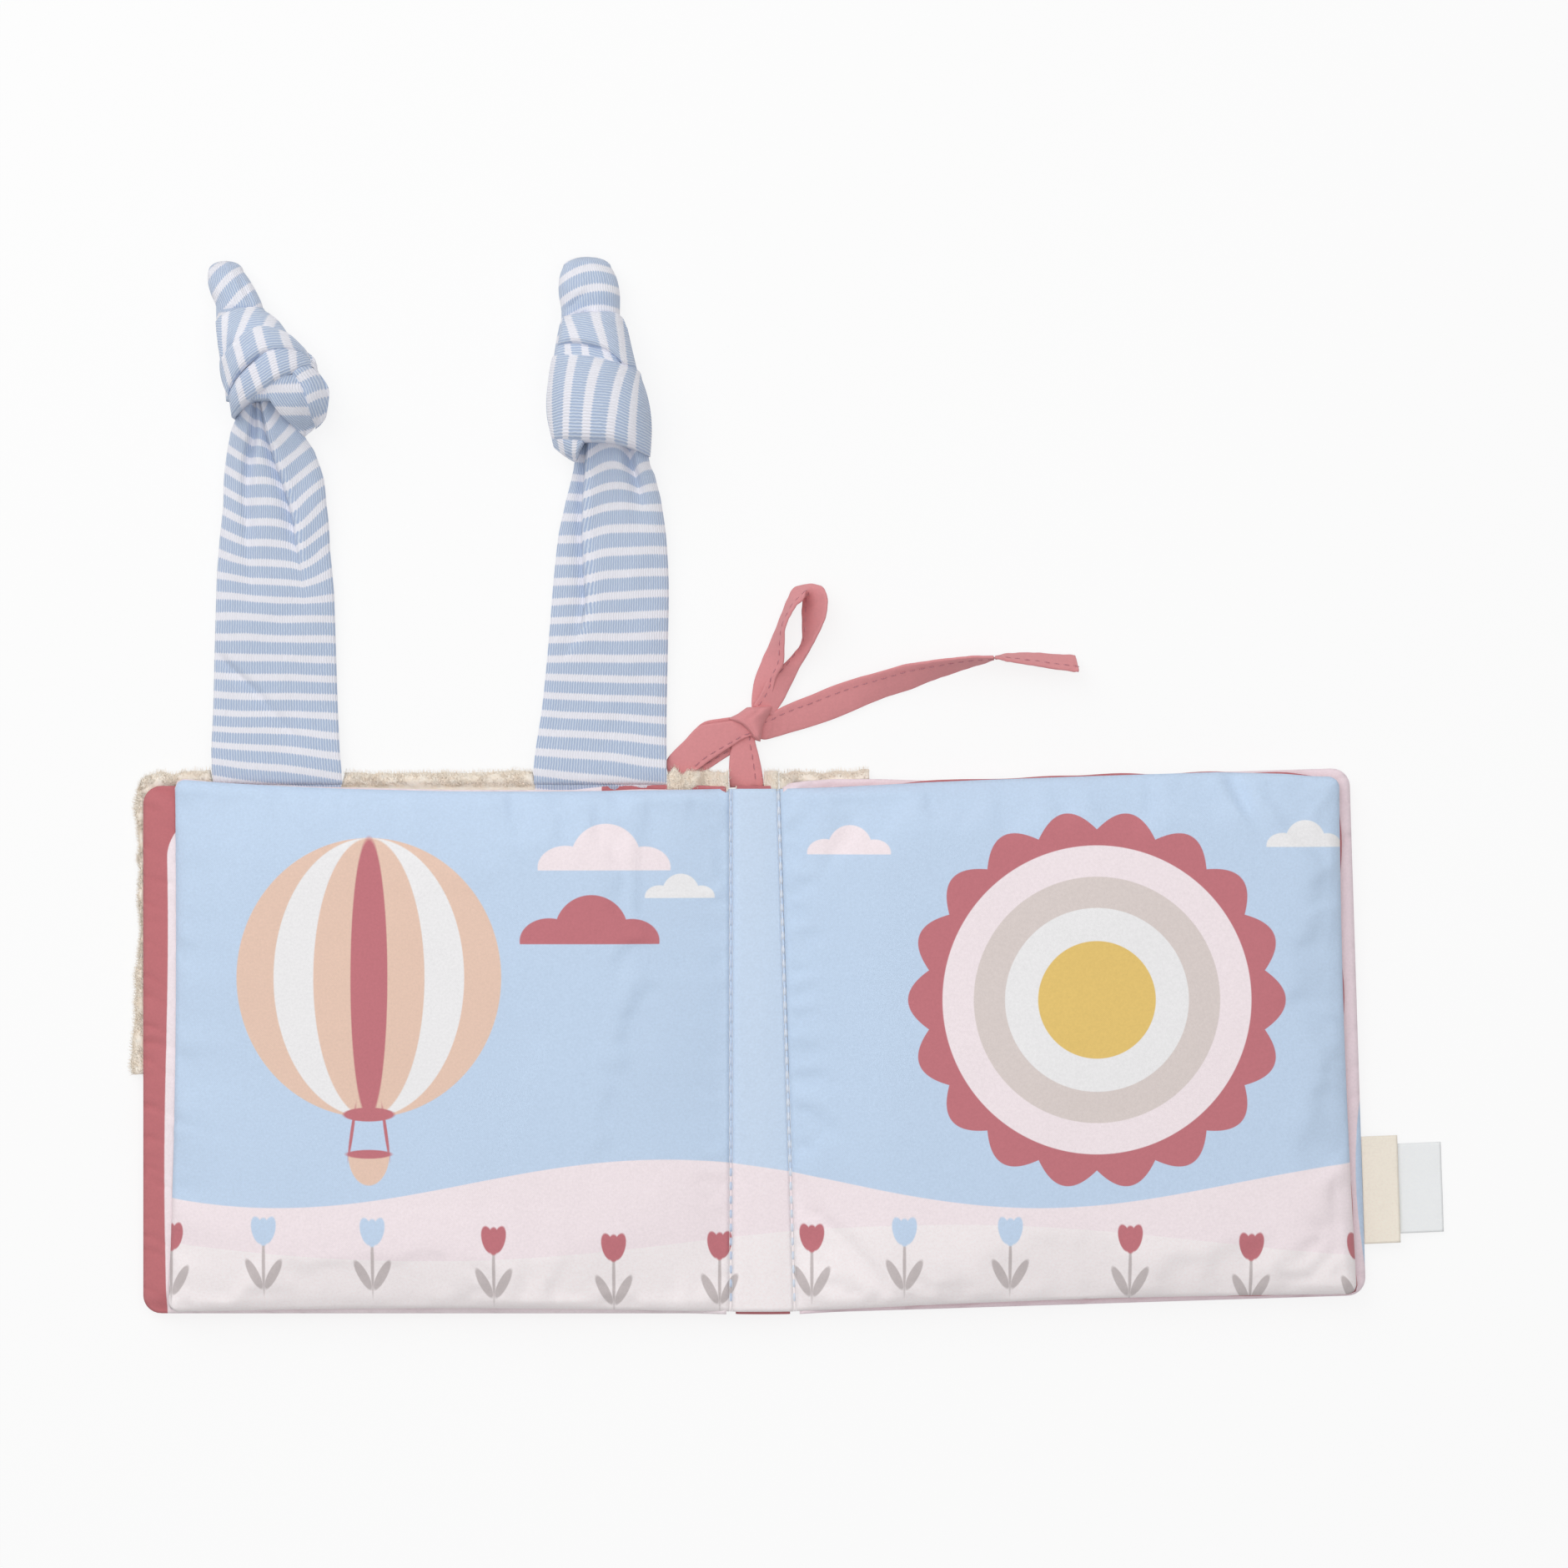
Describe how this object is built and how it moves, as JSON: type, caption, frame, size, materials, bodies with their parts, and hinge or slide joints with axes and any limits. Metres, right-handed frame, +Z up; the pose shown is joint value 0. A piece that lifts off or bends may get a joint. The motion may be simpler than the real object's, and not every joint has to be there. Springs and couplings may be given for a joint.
{
  "type": "soft cloth play book",
  "caption": "Soft padded cloth play book for a baby, lying open flat, with turning pages, a plush outer cover, knotted striped ears, a ribbon tie and bare side tags.",
  "frame": {"origin": "on the floor under the middle of the spine, at the flat face of its underside", "axes": "+X across the open book towards the back cover's side, +Y along the spine towards the ears, +Z up, away from the floor"},
  "size_m": [0.3601, 0.289, 0.0215],
  "materials": {
    "plush": "short curly pile, matte",
    "rose_cotton": "fine woven cotton, matte",
    "pink_cotton": "fine woven cotton, matte",
    "front_lining_print": "printed cotton, rose with a pale pink shape",
    "back_lining_print": "printed cotton, pale pink with blue patches",
    "page_print": "printed cotton satin, soft sheen",
    "wadding": "loose polyester fibre",
    "crinkle_film": "clear crinkled film",
    "striped_jersey": "grey-blue jersey with white stripes",
    "tie_ribbon": "folded cotton tape with one row of stitches",
    "cream_tag_cloth": "woven cotton, bare",
    "white_tag_satin": "woven satin, bare",
    "thread": "sewing thread"
  },
  "bodies": {
    "spine": {"spine_plush": "plush", "spine_lower_panel": "rose_cotton", "spine_wadding": "wadding", "spine_lining": "rose_cotton", "gutter_band": "page_print", "left_seam_thread": "thread", "right_seam_thread": "thread"},
    "front_cover": {"front_cover_plush": "plush", "front_cover_lower_panel": "rose_cotton", "front_cover_wadding": "wadding", "front_cover_lining": "front_lining_print"},
    "back_cover": {"back_cover_plush_strip": "plush", "back_cover_outer_panel": "pink_cotton", "back_cover_wadding": "wadding", "back_cover_lining": "back_lining_print"},
    "left_leaf": {"left_leaf_picture": "page_print", "left_leaf_wadding": "wadding", "left_leaf_reverse": "pink_cotton", "left_leaf_crinkle_film": "crinkle_film"},
    "right_leaf": {"right_leaf_picture": "page_print", "right_leaf_wadding": "wadding", "right_leaf_reverse": "rose_cotton", "right_leaf_crinkle_film": "crinkle_film"},
    "left_ear": {"left_ear_strap": "striped_jersey", "left_ear_knot": "striped_jersey", "left_ear_tip": "striped_jersey"},
    "right_ear": {"right_ear_strap": "striped_jersey", "right_ear_knot": "striped_jersey", "right_ear_tip": "striped_jersey"},
    "tie": {"tie_anchor": "tie_ribbon", "tie_knot": "tie_ribbon", "tie_upper_loop": "tie_ribbon", "tie_left_loop": "tie_ribbon", "tie_long_tail": "tie_ribbon"},
    "tags": {"cream_tag": "cream_tag_cloth", "white_tag": "white_tag_satin"}
  },
  "joints": [
    {"name": "front_cover_fold", "type": "hinge", "parent": "spine", "child": "front_cover", "pos_m": [-0.0076, 0, 0.00675], "axis": [0, 1, 0], "range_deg": [-80, 90]},
    {"name": "back_cover_fold", "type": "hinge", "parent": "spine", "child": "back_cover", "pos_m": [0.0076, 0, 0.00675], "axis": [0.0316, -0.9995, 0], "range_deg": [-80, 90]},
    {"name": "left_leaf_turn", "type": "hinge", "parent": "front_cover", "child": "left_leaf", "pos_m": [-0.0076, 0, 0.00675], "axis": [0, -1, 0], "range_deg": [-160, 0]},
    {"name": "right_leaf_turn", "type": "hinge", "parent": "back_cover", "child": "right_leaf", "pos_m": [0.0076, 0, 0.00675], "axis": [-0.0316, 0.9995, 0], "range_deg": [-160, 0]},
    {"name": "left_ear_flap", "type": "hinge", "parent": "front_cover", "child": "left_ear", "pos_m": [-0.1317, 0.0736, 0.004], "axis": [-1, 0, 0], "range_deg": [-90, 90]},
    {"name": "right_ear_flap", "type": "hinge", "parent": "front_cover", "child": "right_ear", "pos_m": [-0.0434, 0.0736, 0.004], "axis": [-1, 0, 0], "range_deg": [-90, 90]},
    {"name": "tie_flap", "type": "hinge", "parent": "spine", "child": "tie", "pos_m": [-0.0038, 0.07305, 0.0026], "axis": [-1, 0, 0], "range_deg": [-75, 75]},
    {"name": "tag_flap", "type": "hinge", "parent": "back_cover", "child": "tags", "pos_m": [0.1662, -0.03851, 0.0036], "axis": [-0.0316, 0.9995, 0], "range_deg": [-80, 80]}
  ]
}
